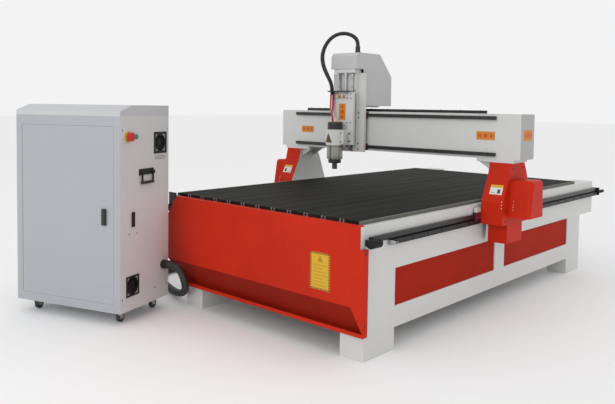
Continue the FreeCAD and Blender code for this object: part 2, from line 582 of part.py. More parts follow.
def cabinet_shell():
    w = CAB_WALL
    body = box(0, CAB_W, 0, CAB_D, CAB_Z0, CAB_Z1)
    body = body.cut(box(w, CAB_W - w, w, CAB_D - w, CAB_Z0 + w, CAB_Z1 - w))
    body = body.cut(box(DOOR_A[0] - 3, DOOR_A[1] + 1, -1, w, DOOR_Z[0] - 1, DOOR_Z[1] + 1))
    for b, z in (FAN_UPPER, FAN_LOWER):
        body = body.cut(cyl(52, (CAB_W - 5, b, z), (1, 0, 0), 10))
    for (b, z), radius in ((STOP_AT, 11), (START_AT, 10), (GLAND_AT, 18), (LATCH_AT, 5.4)):
        body = body.cut(cyl(radius, (CAB_W - 5, b, z), (1, 0, 0), 10))
    write_cab("cabinet_body", body)

    outline = [(0, CAB_Z1), (0, CAB_Z1 + 27), (103, CAB_TOP), (CAB_D, CAB_TOP), (CAB_D, CAB_Z1)]
    top = prism_x(outline, 0, CAB_W)
    inner = [(3, CAB_Z1 - 1), (3, CAB_Z1 + 25), (104, CAB_TOP - 2), (CAB_D - 2, CAB_TOP - 2),
             (CAB_D - 2, CAB_Z1 - 1)]
    write_cab("cabinet_top", top.cut(prism_x(inner, 2, CAB_W - 2)))


def cabinet_door():
    w = CAB_WALL
    a0, a1 = DOOR_A
    z0, z1 = DOOR_Z
    door = box(a0, a1, 0, DOOR_T, z0, z1).cut(box(a0 + w, a1 - w, w, DOOR_T + 1, z0 + w, z1 - w))
    door = door.cut(cyl(7, (650, -1, 614), (0, 1, 0), 5))
    pins = [cyl(HINGE_PIN_R, (HINGE_A, HINGE_B, z), (0, 0, 1), 9) for z in (z0 - 8, z1 - 1)]
    write_cab("cabinet_door", fused(door, *pins))
    grip = box(636, 664, -14, -3, 568, 660)
    grip = grip.makeFillet(4, [e for e in grip.Edges if e.CenterOfMass.y < -13])
    cam = box(642, 658, 20, 24, 585, 624)
    write_cab("door_latch", fused(grip, cyl(6.5, (650, -4, 614), (0, 1, 0), 25), cam))


def cabinet_controls():
    face = CAB_W
    fittings = []
    for (b, z), half in ((FAN_UPPER, 63.0), (FAN_LOWER, 58.0)):
        grille = box(face, face + 3, b - half, b + half, z - half - 1, z + half + 1)
        for i in range(-5, 6):
            grille = grille.cut(box(face - 1, face + 4, b - 48, b + 48, z + i * 9 - 3, z + i * 9 + 3))
        frame = box(face - 34, face - CAB_WALL, b - 60, b + 60, z - 60, z + 60)
        frame = frame.cut(cyl(54, (face - 40, b, z), (1, 0, 0), 60))
        spider = cyl(18, (face - 34, b, z), (1, 0, 0), 7)
        for turn in (45, 135):
            strut = box(face - 34, face - 28, -70, 70, -3, 3)
            strut.rotate(Vector(face, 0, 0), Vector(1, 0, 0), turn)
            strut.translate(Vector(0, b, z))
            spider = spider.fuse(strut)
        spider = spider.common(box(face - 40, face, b - 60, b + 60, z - 60, z + 60))
        fittings += [grille, fused(frame, spider)]
    ring = cyl(30, (face, *STOP_AT), (1, 0, 0), 8).cut(cyl(10.4, (face - 1, *STOP_AT), (1, 0, 0), 12))
    bezel = cyl(15, (face, *START_AT), (1, 0, 0), 7).cut(cyl(11.4, (face - 1, *START_AT), (1, 0, 0), 12))
    plate = box(face, face + 4, BAIL_B[0], BAIL_B[1], 838, 874)
    for b in (BAIL_B[0] + 6, BAIL_B[1] - 14):
        plate = plate.fuse(box(face + 4, face + 18, b, b + 8, 842, 862))
        plate = plate.cut(cyl(4.3, (BAIL_A, b - 1, BAIL_Z), (0, 1, 0), 10))
    # lugs behind the front face hold the door's two hinge pins
    for z in (DOOR_Z[0] - 9, DOOR_Z[1] + 2):
        lug = box(HINGE_A - 8, HINGE_A + 8, CAB_WALL, CAB_WALL + 10, z, z + 7)
        fittings.append(lug.cut(cyl(HINGE_PIN_R + 0.05, (HINGE_A, HINGE_B, z - 1), (0, 0, 1), 9)))
    write_cab("cabinet_fittings", ring, bezel, plate.removeSplitter(), *fittings)

    write_cab("estop_button", fused(cyl(25, (face + 16, *STOP_AT), (1, 0, 0), 16),
                                    cyl(10, (face - 20, *STOP_AT), (1, 0, 0), 36)))
    write_cab("start_button", fused(cyl(11, (face + 4.5, *START_AT), (1, 0, 0), 6.5),
                                    cyl(8, (face - 20, *START_AT), (1, 0, 0), 25)))
    b, z = LATCH_AT
    lever = box(face + 3, face + 11, b - 10, b + 10, 552, 635)
    write_cab("side_latch", fused(lever, cyl(5, (face - 12, b, z), (1, 0, 0), 16)))

    b0, b1 = BAIL_B[0] + 6 + 8 + GAP, BAIL_B[1] - 14 - GAP
    pins = [cyl(4, (BAIL_A, at, BAIL_Z), (0, 1, 0), 14) for at in (BAIL_B[0] + 4, BAIL_B[1] - 18)]
    arms = [box(BAIL_A - 4, BAIL_A + 4, at, at + 8, 795, BAIL_Z + 4) for at in (b0, b1 - 8)]
    bar = cyl(8.5, (BAIL_A, b0, 795), (0, 1, 0), b1 - b0)
    write_cab("drop_handle", fused(bar, *(pins + arms)))

    for name, (b, z) in (("fan_rotor_upper", FAN_UPPER), ("fan_rotor_lower", FAN_LOWER)):
        rotor = cyl(20, (face - 26, b, z), (1, 0, 0), 20)
        blades = []
        for i in range(7):
            blade = Part.makeBox(2, 31, 22, Vector(-1, 19, -11))
            blade.rotate(Vector(0, 0, 0), Vector(0, 1, 0), 50)
            blade.rotate(Vector(0, 0, 0), Vector(1, 0, 0), i * 360 / 7)
            blade.translate(Vector(face - 16, b, z))
            blades.append(blade)
        write_cab(name, fused(rotor, *blades))


def electronics_panel():
    plate = box(60, 690, CAB_D - 40, CAB_D - 36, 160, 1080)
    front = CAB_D - 40
    pieces = [plate,
              box(100, 300, front - 150, front, 700, 1030),
              box(350, 500, front - 90, front, 900, 1030)]
    for i in range(4):
        pieces.append(box(350 + i * 75, 400 + i * 75, front - 100, front, 650, 800))
    pieces += [box(120, 260, front - 120, front, 250, 400), box(330, 640, front - 60, front, 450, 520),
               box(330, 640, front - 60, front, 250, 320)]
    standoffs = [cyl(6, (a, CAB_D - 36, z), (0, 1, 0), 36 - CAB_WALL) for a in (80, 670) for z in (200, 1040)]
    write_cab("electronics_panel", *(pieces + standoffs))


def casters():
    for name, (a, b) in CASTERS.items():
        head = cyl(22, (a, b, 66), (0, 0, 1), CAB_Z0 - 66 - GAP)
        fork = head
        for s in (-1, 1):
            x0, x1 = sorted((a + s * (WHEEL_W / 2 + 1), a + s * (WHEEL_W / 2 + 4)))
            cheek = prism([(x0, b - 20, 66), (x0, b + 20, 66), (x0, b + TRAIL + 12, WHEEL_R - 8),
                           (x0, b + TRAIL - 12, WHEEL_R - 8)], (x1 - x0, 0, 0))
            fork = fork.fuse(cheek)
        axle = cyl(5, (a - WHEEL_W / 2 - 4, b + TRAIL, WHEEL_R), (1, 0, 0), WHEEL_W + 8)
        write_cab("caster_fork_" + name, fused(fork, axle))
        wheel = cyl(WHEEL_R, (a - WHEEL_W / 2, b + TRAIL, WHEEL_R), (1, 0, 0), WHEEL_W)
        wheel = wheel.makeFillet(4, wheel.Edges[0:1] + wheel.Edges[2:3])
        wheel = wheel.cut(cyl(5.05, (a - 20, b + TRAIL, WHEEL_R), (1, 0, 0), 40))
        write_cab("caster_wheel_" + name, wheel)


def conduit_and_hose():
    b, z = GLAND_AT
    face = CAB_W
    on_cabinet = fused(cyl(27, (face, b, z), (1, 0, 0), 14), cyl(24.5, (face, b, z), (1, 0, 0), 45),
                       cyl(17.7, (face - 6, b, z), (1, 0, 0), 8))
    rail_face = -FRAME_HALF_X + LEFT_LEG_INSET
    end = Vector(*CONDUIT_ROUTE[-1])
    on_frame = fused(cyl(27, (rail_face - 14, end.y, end.z), (1, 0, 0), 14),
                     cyl(24.5, (end.x, end.y, end.z), (1, 0, 0), rail_face - end.x))
    write("conduit_glands", in_room(on_cabinet), on_frame)
    for name, route, diameter in (("cabinet_conduit", CONDUIT_ROUTE, CONDUIT_D),
                                  ("z_hose", HOSE_ROUTE, HOSE_D)):
        solid, length, radii = tube_along(route, diameter)
        write(name, solid)
        filled = solid.Volume / (math.pi * diameter ** 2 / 4 * length)
        print("%s: length %.0f mm, volume / (section x length) = %.4f" % (name, length, filled))
        print("  radii in diameters:", ", ".join("%.1f" % (r / diameter) for r in radii))


os.makedirs("parts", exist_ok=True)
base_frame()
side_panels()
front_panel()
bed()
y_axis_rails()
gantry_beam()
gantry_legs()
gantry_covers()
y_blocks()
y_drives()
x_carriage()
x_drive()
hood()
z_screw()
z_slide()
spindle()
cabinet_shell()
cabinet_door()
cabinet_controls()
electronics_panel()
casters()
conduit_and_hose()
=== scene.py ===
"""Looks of the gantry CNC router: materials, cords, small fittings, labels, studio light and camera."""
import bpy
import math
from mathutils import Matrix, Vector


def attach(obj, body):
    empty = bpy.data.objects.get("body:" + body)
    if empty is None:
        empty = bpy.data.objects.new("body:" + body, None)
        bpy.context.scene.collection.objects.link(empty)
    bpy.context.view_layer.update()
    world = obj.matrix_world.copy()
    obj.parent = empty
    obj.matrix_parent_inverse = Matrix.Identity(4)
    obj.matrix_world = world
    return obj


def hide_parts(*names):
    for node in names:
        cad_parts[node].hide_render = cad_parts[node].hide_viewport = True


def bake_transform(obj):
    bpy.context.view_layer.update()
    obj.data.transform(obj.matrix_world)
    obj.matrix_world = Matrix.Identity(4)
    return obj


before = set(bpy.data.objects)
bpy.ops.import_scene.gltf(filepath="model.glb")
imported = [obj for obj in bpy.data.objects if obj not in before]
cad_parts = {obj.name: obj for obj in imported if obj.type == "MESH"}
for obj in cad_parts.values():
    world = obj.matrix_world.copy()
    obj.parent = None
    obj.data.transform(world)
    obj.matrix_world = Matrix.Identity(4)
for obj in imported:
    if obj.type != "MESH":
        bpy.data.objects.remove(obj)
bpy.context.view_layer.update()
scene = bpy.context.scene
MM = 0.001
CABINET_TURN, CABINET_CORNER = math.radians(19.44), Vector((-1227.2, -2154.8, 0))
CAD_SHARP, CAD_BEVEL, PIECE_SHARP, PIECE_BEVEL, TUBE_SHARP = (math.radians(a) for a in (28, 40, 35, 50, 70))


# ---------------------------------------------------------------- materials
def material(name, colour, rough=0.4, metal=0.0, speckle=0.0, speckle_scale=60.0, bump=0.0, bump_scale=200.0,
             coat=0.0, rough_spread=0.0, stretch=None, wear=None, specular=0.5):
    """Principled material with optional tone mottling, fine bump, brushed direction and worn tone."""
    mat = bpy.data.materials.new(name)
    mat.use_nodes = True
    nodes, links = mat.node_tree.nodes, mat.node_tree.links
    shader = nodes["Principled BSDF"]
    shader.inputs["Base Color"].default_value = (*colour, 1)
    shader.inputs["Roughness"].default_value = rough
    shader.inputs["Metallic"].default_value = metal
    shader.inputs["Coat Weight"].default_value = coat
    shader.inputs["Coat Roughness"].default_value = 0.15
    shader.inputs["Specular IOR Level"].default_value = specular
    place = nodes.new("ShaderNodeTexCoord")
    turn = nodes.new("ShaderNodeMapping")
    turn.inputs["Scale"].default_value = stretch or (1, 1, 1)
    links.new(place.outputs["Object"], turn.inputs["Vector"])

    def noise(scale, detail=4.0):
        node = nodes.new("ShaderNodeTexNoise")
        node.inputs["Scale"].default_value = scale
        node.inputs["Detail"].default_value = detail
        links.new(turn.outputs["Vector"], node.inputs["Vector"])
        return node

    if speckle or wear:
        other = wear or tuple(c * (1 - speckle) for c in colour)
        ramp = nodes.new("ShaderNodeValToRGB")
        ramp.color_ramp.elements[0].position = 0.35
        ramp.color_ramp.elements[1].position = 0.65
        ramp.color_ramp.elements[0].color = (*colour, 1)
        ramp.color_ramp.elements[1].color = (*other, 1)
        links.new(noise(speckle_scale).outputs["Fac"], ramp.inputs["Fac"])
        links.new(ramp.outputs["Color"], shader.inputs["Base Color"])
    if rough_spread:
        spread = nodes.new("ShaderNodeMapRange")
        spread.inputs["To Min"].default_value = max(0.03, rough - rough_spread)
        spread.inputs["To Max"].default_value = min(1.0, rough + rough_spread)
        links.new(noise(speckle_scale * 0.4).outputs["Fac"], spread.inputs["Value"])
        links.new(spread.outputs["Result"], shader.inputs["Roughness"])
    if bump:
        raised = nodes.new("ShaderNodeBump")
        raised.inputs["Strength"].default_value = bump
        raised.inputs["Distance"].default_value = 0.0006
        links.new(noise(bump_scale, 2.0).outputs["Fac"], raised.inputs["Height"])
        links.new(raised.outputs["Normal"], shader.inputs["Normal"])
    return mat


white = material("white_paint", (0.64, 0.64, 0.63), 0.42, speckle=0.03, speckle_scale=3, bump=0.15,
                 bump_scale=420, rough_spread=0.06, specular=0.3)
red = material("red_paint", (0.56, 0.022, 0.005), 0.45, speckle=0.14, speckle_scale=2.5, bump=0.12,
               bump_scale=380, rough_spread=0.06, specular=0.12)
# Darker copy of the red paint: painted shade for the front panel's kick and its downward faces.
red_kick_painted_shade = material("red_paint_kick_painted_shade", (0.27, 0.013, 0.004), 0.5, speckle=0.14, speckle_scale=2.5,
                     bump=0.12, bump_scale=380, rough_spread=0.06, specular=0.08)
# Darker copy of the red paint: painted shade for the side panels, which face away from the light.
red_side_painted_shade = material("red_paint_side_painted_shade", (0.40, 0.017, 0.004), 0.55, speckle=0.16, speckle_scale=2.5,
                    bump=0.12, bump_scale=380, rough_spread=0.06, specular=0.06)
# Darker copy of the white paint: painted shade for the gantry beam's end faces.
end_painted_shade = material("end_plate_painted_shade", (0.42, 0.42, 0.41), 0.45, speckle=0.03, speckle_scale=3, bump=0.15,
                    bump_scale=420, rough_spread=0.06, specular=0.3)
cabinet_grey = material("cabinet_paint", (0.40, 0.415, 0.445), 0.5, speckle=0.03, speckle_scale=2,
                        bump=0.3, bump_scale=900, rough_spread=0.05, specular=0.3)
# Lighter copy of the cabinet paint: painted light on the cabinet's right side.
cabinet_side_painted_light = material("cabinet_right_painted_light", (0.62, 0.615, 0.615), 0.5, speckle=0.03, speckle_scale=2,
                        bump=0.3, bump_scale=900, rough_spread=0.05, specular=0.3)
# Lighter copy of the cabinet paint: painted light on the cabinet's top.
cabinet_lid_painted_light = material("cabinet_lid_painted_light", (0.54, 0.545, 0.56), 0.5, speckle=0.04, speckle_scale=3, bump=0.3,
                       bump_scale=900, specular=0.3)
hood_grey = material("hood_paint", (0.52, 0.525, 0.52), 0.45, speckle=0.03, speckle_scale=4, bump=0.2,
                     bump_scale=600, specular=0.3)
dark_metal = material("dark_metal", (0.025, 0.026, 0.028), 0.4, speckle=0.2, speckle_scale=30)
aluminium = material("aluminium", (0.62, 0.62, 0.63), 0.32, 1.0, rough_spread=0.1, stretch=(1, 1, 12))
slot_alu = material("slot_aluminium", (0.020, 0.020, 0.018), 0.62, 0.2, rough_spread=0.1, speckle_scale=40,
                    wear=(0.034, 0.034, 0.031), stretch=(1, 0.05, 1), specular=0.06)
channel_end = material("channel_end", (0.22, 0.22, 0.23), 0.4, 0.3, speckle=0.1, speckle_scale=60)
edge_strip = material("bed_edge_strip", (0.15, 0.155, 0.135), 0.55, speckle=0.15, speckle_scale=30,
                      stretch=(1, 0.05, 1), specular=0.1)
pvc = material("bed_pvc", (0.012, 0.0118, 0.0102), 0.68, speckle_scale=26, wear=(0.022, 0.0215, 0.0185),
               stretch=(1, 0.04, 1), bump=0.5, bump_scale=160, rough_spread=0.08, specular=0.05)
rail_steel = material("rail_steel", (0.045, 0.048, 0.046), 0.3, 0.7, rough_spread=0.08,
                      stretch=(1, 0.1, 1))
rack_steel = material("rack_steel", (0.03, 0.03, 0.03), 0.42, 0.5, speckle=0.3, speckle_scale=50)
ground = material("ground_steel", (0.50, 0.50, 0.51), 0.26, 1.0, rough_spread=0.08, stretch=(1, 1, 0.1))
spindle_steel = material("spindle_steel", (0.30, 0.29, 0.27), 0.25, 1.0, rough_spread=0.08,
                         stretch=(1, 1, 20))
tool_steel = material("tool_steel", (0.09, 0.09, 0.10), 0.3, 0.9, speckle=0.2, speckle_scale=60)
zinc = material("zinc_plate", (0.42, 0.43, 0.44), 0.35, 0.9, speckle=0.15, speckle_scale=40)
zinc_bright = material("bright_plate", (0.62, 0.62, 0.61), 0.35, 0.3, speckle=0.06, speckle_scale=40)
rubber = material("black_rubber", (0.012, 0.012, 0.012), 0.6, bump=0.3, bump_scale=300, speckle=0.2,
                  specular=0.2)
black = material("black_plastic", (0.014, 0.014, 0.016), 0.42, speckle=0.2, speckle_scale=40, bump=0.1)
corrugated = material("corrugated_black", (0.030, 0.031, 0.032), 0.30, speckle=0.25, speckle_scale=30)
red_plastic = material("red_plastic", (0.55, 0.012, 0.01), 0.25, coat=0.3, speckle=0.06)
red_cable = material("red_cable", (0.42, 0.02, 0.03), 0.4, speckle=0.1, speckle_scale=80)
white_cable = material("white_cable", (0.70, 0.66, 0.62), 0.45, speckle=0.08, speckle_scale=80)
green_plastic = material("green_plastic", (0.02, 0.32, 0.09), 0.28, coat=0.3, speckle=0.06)
yellow_ring = material("yellow_ring", (0.62, 0.45, 0.05), 0.4, speckle=0.05)
seal_red = material("seal_red", (0.14, 0.012, 0.035), 0.5, speckle=0.2)
brass = material("brass", (0.62, 0.45, 0.20), 0.3, 1.0, speckle=0.15, speckle_scale=90)
bolt_black = material("bolt_black", (0.02, 0.02, 0.022), 0.4, 0.5, speckle=0.2, speckle_scale=200)
label_yellow = material("label_yellow", (0.66, 0.38, 0.01), 0.5, speckle=0.05)
label_orange = material("label_orange", (0.62, 0.23, 0.008), 0.5, speckle=0.06)
label_arrow = material("label_arrow", (0.55, 0.06, 0.005), 0.5, speckle=0.05)
label_white = material("label_white", (0.70, 0.69, 0.66), 0.5, speckle=0.05)
label_brown = material("label_brown", (0.16, 0.012, 0.005), 0.5, speckle=0.06)
label_olive = material("label_olive", (0.10, 0.055, 0.008), 0.5, speckle=0.06)
label_grey = material("label_grey", (0.3, 0.3, 0.3), 0.5)
label_dark = material("label_dark", (0.05, 0.035, 0.02), 0.55, speckle=0.1)
caster_rubber = material("caster_rubber", (0.035, 0.036, 0.04), 0.55, speckle=0.2)
label_line = material("label_line", (0.45, 0.22, 0.01), 0.5, speckle=0.05)
slot_shadow = material("slot_shadow", (0.30, 0.30, 0.30), 0.5)
slit_shadow = material("slit_shadow", (0.12, 0.125, 0.13), 0.6)

CORNERS = ("front_left", "front_right", "rear_left", "rear_right")
LOOK = {
    white: ["side_beams", "legs", "cross_members", "gantry_beam", "gantry_legs", "x_carriage_plate",
            "z_plate", "spindle_brackets"],
    red: ["front_panel", "side_panels", "gantry_covers"],
    cabinet_grey: ["cabinet_body", "cabinet_door"],
    cabinet_lid_painted_light: ["cabinet_top"],
    hood_grey: ["hood"],
    dark_metal: ["y_motors", "carriage_motors"],
    slot_alu: ["t_slot_channels"],
    pvc: ["pvc_strips"],
    rail_steel: ["y_rails", "x_rails"],
    rack_steel: ["y_racks", "x_rack", "y_pinion_left", "y_pinion_right", "x_pinion"],
    rubber: ["rail_buffers", "y_drive_belts"],
    black: ["cabinet_fittings", "conduit_glands", "door_latch", "side_latch", "drop_handle",
            "fan_rotor_upper", "fan_rotor_lower", "hose_gland", "spindle_cap"],
    zinc: ["electronics_panel"] + ["caster_fork_" + corner for corner in CORNERS],
    caster_rubber: ["caster_wheel_" + corner for corner in CORNERS],
    red_plastic: ["estop_button"],
    green_plastic: ["start_button"],
    ground: ["y_blocks", "x_blocks", "z_blocks", "z_rails", "z_screw"],
    aluminium: ["y_motor_pulley_left", "y_motor_pulley_right"],
    spindle_steel: ["spindle_body"],
    tool_steel: ["spindle_shaft"],
}

# Edge rounding of each node, in millimetres.
BEVELS = {
    "side_beams": 4, "legs": 4, "cross_members": 4, "gantry_beam": 5, "front_panel": 1.2,
    "gantry_covers": 2.0, "cabinet_body": 1.2, "cabinet_door": 1.2, "cabinet_top": 2.0, "hood": 2.0,
    "x_carriage_plate": 1.0, "z_plate": 1.5, "spindle_brackets": 1.2, "y_rails": 1.0, "x_rails": 1.0,
    "z_rails": 1.0, "y_blocks": 1.5, "x_blocks": 1.5, "z_blocks": 1.2, "gantry_legs": 1.0,
    "carriage_motors": 2.0, "y_motors": 2.0, "spindle_body": 1.5, "spindle_shaft": 0.8,
    "estop_button": 2.5, "start_button": 1.0, "drop_handle": 1.0, "side_latch": 1.5, "pvc_strips": 0.8,
    "t_slot_channels": 0.5, "rail_buffers": 2.0}


def dress_nodes():
    """Give every CAD node its material, smooth shading and rounded edges."""
    for mat, names in LOOK.items():
        for name in names:
            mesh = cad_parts[name].data
            mesh.materials.clear()
            mesh.materials.append(mat)
            mesh.polygons.foreach_set("use_smooth", [True] * len(mesh.polygons))
            mesh.set_sharp_from_angle(angle=CAD_SHARP)
    for name, width in BEVELS.items():
        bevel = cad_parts[name].modifiers.new("edge", "BEVEL")
        bevel.width = width * MM
        bevel.segments = 2
        bevel.limit_method = "ANGLE"
        bevel.angle_limit = CAD_BEVEL
        bevel.harden_normals = False


def repaint(name, mat, test):
    """Give another paint to the faces of a node whose centre and direction pass the test, in metres."""
    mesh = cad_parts[name].data
    mesh.materials.append(mat)
    slot = len(mesh.materials) - 1
    for face in mesh.polygons:
        if test(face.center, face.normal):
            face.material_index = slot


def repaint_faces():
    """Second paints on single faces: painted shade on the panel kick, side panels and beam end plates; bed
    edges, rack ends, hose arm; painted light on the cabinet side.
    """
    kick_top, panel_front = 0.272, -1.3895
    beam_end, bed_edge = 0.976, 0.712
    rack_start, rack_foot = -1.12, 0.583
    arm_foot = 1.345
    cabinet_right = Vector((math.cos(CABINET_TURN), math.sin(CABINET_TURN), 0))

    def on_kick(c, n):
        """Inward-sloping lower part of the front panel, and the edges beside it, which get painted shade."""
        return c.z < kick_top and n.y < 0.9 and c.y > panel_front or n.z < -0.5

    repaint("front_panel", red_kick_painted_shade, on_kick)
    # Painted shade: every face of the side panels gets the darker red.
    repaint("side_panels", red_side_painted_shade, lambda c, n: True)
    # Painted shade on the beam's end faces.
    repaint("gantry_beam", end_painted_shade, lambda c, n: abs(n.x) > 0.9 and abs(c.x) > beam_end)
    repaint("t_slot_channels", edge_strip, lambda c, n: abs(c.x) > bed_edge)
    repaint("t_slot_channels", channel_end, lambda c, n: n.y < -0.9 and abs(c.x) < bed_edge)
    repaint("y_racks", zinc, lambda c, n: c.y < rack_start and c.z < rack_foot)
    repaint("spindle_brackets", black, lambda c, n: c.z > arm_foot)
    # Painted light on the faces of the cabinet that point to its right.
    repaint("cabinet_body", cabinet_side_painted_light, lambda c, n: n.dot(cabinet_right) > 0.9)


dress_nodes()
repaint_faces()


# ---------------------------------------------------------------- mesh building, in millimetres
CABINET = Matrix.Translation(CABINET_CORNER) @ Matrix.Rotation(CABINET_TURN, 4, "Z")
MACHINE = Matrix.Identity(4)


class Solid:
    """Collects simple shapes in millimetres and turns them into one piece in metres."""

    def __init__(self, place=MACHINE):
        self.place = place
        self.verts = []
        self.faces = []

    def _add(self, points, faces):
        base = len(self.verts)
        self.verts += [self.place @ Vector(p) * MM for p in points]
        self.faces += [[base + i for i in f] for f in faces]

    def box(self, x0, x1, y0, y1, z0, z1):
        pts = [(x, y, z) for z in (z0, z1) for x, y in ((x0, y0), (x1, y0), (x1, y1), (x0, y1))]
        self._add(pts, [(3, 2, 1, 0), (4, 5, 6, 7), (0, 1, 5, 4), (1, 2, 6, 5), (2, 3, 7, 6), (3, 0, 4, 7)])
        return self

    def plate(self, outline, sweep):
        """Closed outline of 3-D points pushed along sweep."""
        n = len(outline)
        far = [Vector(p) + Vector(sweep) for p in outline]
        sides = [(i, (i + 1) % n, n + (i + 1) % n, n + i) for i in range(n)]
        self._add(list(outline) + far, [tuple(reversed(range(n))), tuple(range(n, 2 * n))] + sides)
        return self

    def lathe(self, centre, axis, profile, sides=24):
        """Revolved profile of (radius, height along axis) pairs, closed at both ends."""
        up = Vector(axis).normalized()
        one = up.orthogonal().normalized()
        two = up.cross(one)
        pts = []
        for r, h in profile:
            for i in range(sides):
                a = 2 * math.pi * i / sides
                pts.append(Vector(centre) + up * h + (one * math.cos(a) + two * math.sin(a)) * r)
        faces = [tuple(reversed(range(sides)))]
        for k in range(len(profile) - 1):
            for i in range(sides):
                j = (i + 1) % sides
                faces.append((k * sides + i, k * sides + j, (k + 1) * sides + j, (k + 1) * sides + i))
        faces.append(tuple(range((len(profile) - 1) * sides, len(profile) * sides)))
        self._add(pts, faces)
        return self

    def screw(self, centre, axis, r=5.0, height=4.0):
        """Round head with a recessed six-sided socket."""
        self.lathe(centre, axis, [(r, -0.5), (r, height - 0.6), (r - 0.6, height), (r * 0.5, height),
                                  (r * 0.5, height * 0.35)], 18)
        return self

    def finish(self, name, mat, body, slot, bevel=0.0):
        """Make the piece in metres, with the body it rides on; the slot argument is not used."""
        mesh = bpy.data.meshes.new(name)
        mesh.from_pydata([tuple(v) for v in self.verts], [], self.faces)
        mesh.materials.append(mat)
        mesh.update()
        piece = bpy.data.objects.new(name, mesh)
        scene.collection.objects.link(piece)
        mesh.polygons.foreach_set("use_smooth", [True] * len(mesh.polygons))
        mesh.set_sharp_from_angle(angle=PIECE_SHARP)
        if bevel:
            mod = piece.modifiers.new("edge", "BEVEL")
            mod.width = bevel * MM
            mod.segments = 2
            mod.limit_method = "ANGLE"
            mod.angle_limit = PIECE_BEVEL
        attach(piece, body)


# ---------------------------------------------------------------- cords
CONDUIT_D, HOSE_D = 0.045, 0.030
CONDUIT_STEP, HOSE_STEP, LEAD_STEP = 0.0022, 0.0011, 0.004
CONDUIT_ROUTE = [
    (-0.603, -1.5103, 0.277), (-0.5663, -1.4974, 0.277), (-0.537, -1.482, 0.251), (-0.527, -1.463, 0.208),
    (-0.535, -1.442, 0.162), (-0.562, -1.418, 0.120), (-0.608, -1.393, 0.086), (-0.674, -1.363, 0.058),
    (-0.768, -1.328, 0.037), (-0.885, -1.284, 0.025), (-1.010, -1.238, 0.024), (-1.140, -1.185, 0.024),
    (-1.262, -1.100, 0.024), (-1.340, -0.975, 0.024), (-1.325, -0.828, 0.024), (-1.208, -0.728, 0.024),
    (-1.062, -0.686, 0.025), (-0.935, -0.676, 0.050), (-0.842, -0.678, 0.103), (-0.765, -0.680, 0.150),
    (-0.706, -0.680, 0.172), (-0.668, -0.680, 0.172)]
HOSE_ROUTE = [
    (-0.262, -0.138, 1.676), (-0.262, -0.138, 1.716), (-0.298, -0.149, 1.754), (-0.356, -0.180, 1.774),
    (-0.415, -0.220, 1.756), (-0.455, -0.256, 1.702), (-0.468, -0.288, 1.620), (-0.440, -0.308, 1.540),
    (-0.394, -0.314, 1.468), (-0.364, -0.292, 1.398), (-0.364, -0.292, 1.330)]


def centreline(route, step):
    """Evenly spaced points along the NURBS spline whose control points are the route."""
    curve = bpy.data.curves.new("route", "CURVE")
    curve.dimensions = "3D"
    spline = curve.splines.new("NURBS")
    spline.points.add(len(route) - 1)
    for point, place in zip(spline.points, route):
        point.co = (*place, 1)
    spline.order_u = 3
    spline.use_endpoint_u = True
    spline.resolution_u = 24
    guide = bpy.data.objects.new("route", curve)
    scene.collection.objects.link(guide)
    bpy.context.view_layer.update()
    line = [v.co.copy() for v in guide.to_mesh().vertices]
    guide.to_mesh_clear()
    bpy.data.objects.remove(guide)
    if (line[0] - Vector(route[0])).length > (line[-1] - Vector(route[0])).length:
        line.reverse()
    total = sum((b - a).length for a, b in zip(line, line[1:]))
    count = max(8, round(total / step))
    out, want, gone = [line[0]], total / count, 0.0
    for a, b in zip(line, line[1:]):
        run = (b - a).length
        while run and gone + run >= want - 1e-9 and len(out) < count:
            out.append(a.lerp(b, (want - gone) / run))
            want += total / count
        gone += run
    out.append(line[-1])
    return out, total


def swept(name, route, mat, step, radii, sides=20):
    """Tube along the route whose radius repeats the given pattern, one value per step."""
    line, total = centreline(route, step)
    verts, faces = [], []
    side = (line[1] - line[0]).orthogonal().normalized()
    for i, here in enumerate(line):
        along = (line[min(i + 1, len(line) - 1)] - line[max(i - 1, 0)]).normalized()
        side = (side - along * side.dot(along)).normalized()
        across = along.cross(side)
        r = radii[i % len(radii)]
        for k in range(sides):
            a = 2 * math.pi * k / sides
            verts.append(here + (side * math.cos(a) + across * math.sin(a)) * r)
    for i in range(len(line) - 1):
        for k in range(sides):
            j = (k + 1) % sides
            faces.append((i * sides + k, i * sides + j, (i + 1) * sides + j, (i + 1) * sides + k))
    faces.append(tuple(reversed(range(sides))))
    faces.append(tuple(range((len(line) - 1) * sides, len(line) * sides)))
    mesh = bpy.data.meshes.new(name)
    mesh.from_pydata([tuple(v) for v in verts], [], faces)
    mesh.materials.append(mat)
    mesh.polygons.foreach_set("use_smooth", [True] * len(mesh.polygons))
    mesh.set_sharp_from_angle(angle=TUBE_SHARP)
    piece = bpy.data.objects.new(name, mesh)
    scene.collection.objects.link(piece)
    return piece, [tuple(p) for p in line], total


def ridges(diameter):
    """One corrugation: crest, slope, groove, slope."""
    r = diameter / 2
    return (r, r, r * 0.90, r * 0.80, r * 0.80, r * 0.90)


def dress_conduit():
    """Conduit from the cabinet's side down to the floor and round to the machine's frame."""
    conduit, line, length = swept("cabinet_conduit_corrugated", CONDUIT_ROUTE, corrugated, CONDUIT_STEP,
                                  ridges(CONDUIT_D))
    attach(conduit, "base")
    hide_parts("cabinet_conduit")


def dress_hose():
    """Hose from the hood at its top to the Z slide at its bottom."""
    hose, line, length = swept("z_hose_corrugated", HOSE_ROUTE, corrugated, HOSE_STEP, ridges(HOSE_D))
    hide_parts("z_hose")
    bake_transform(hose)


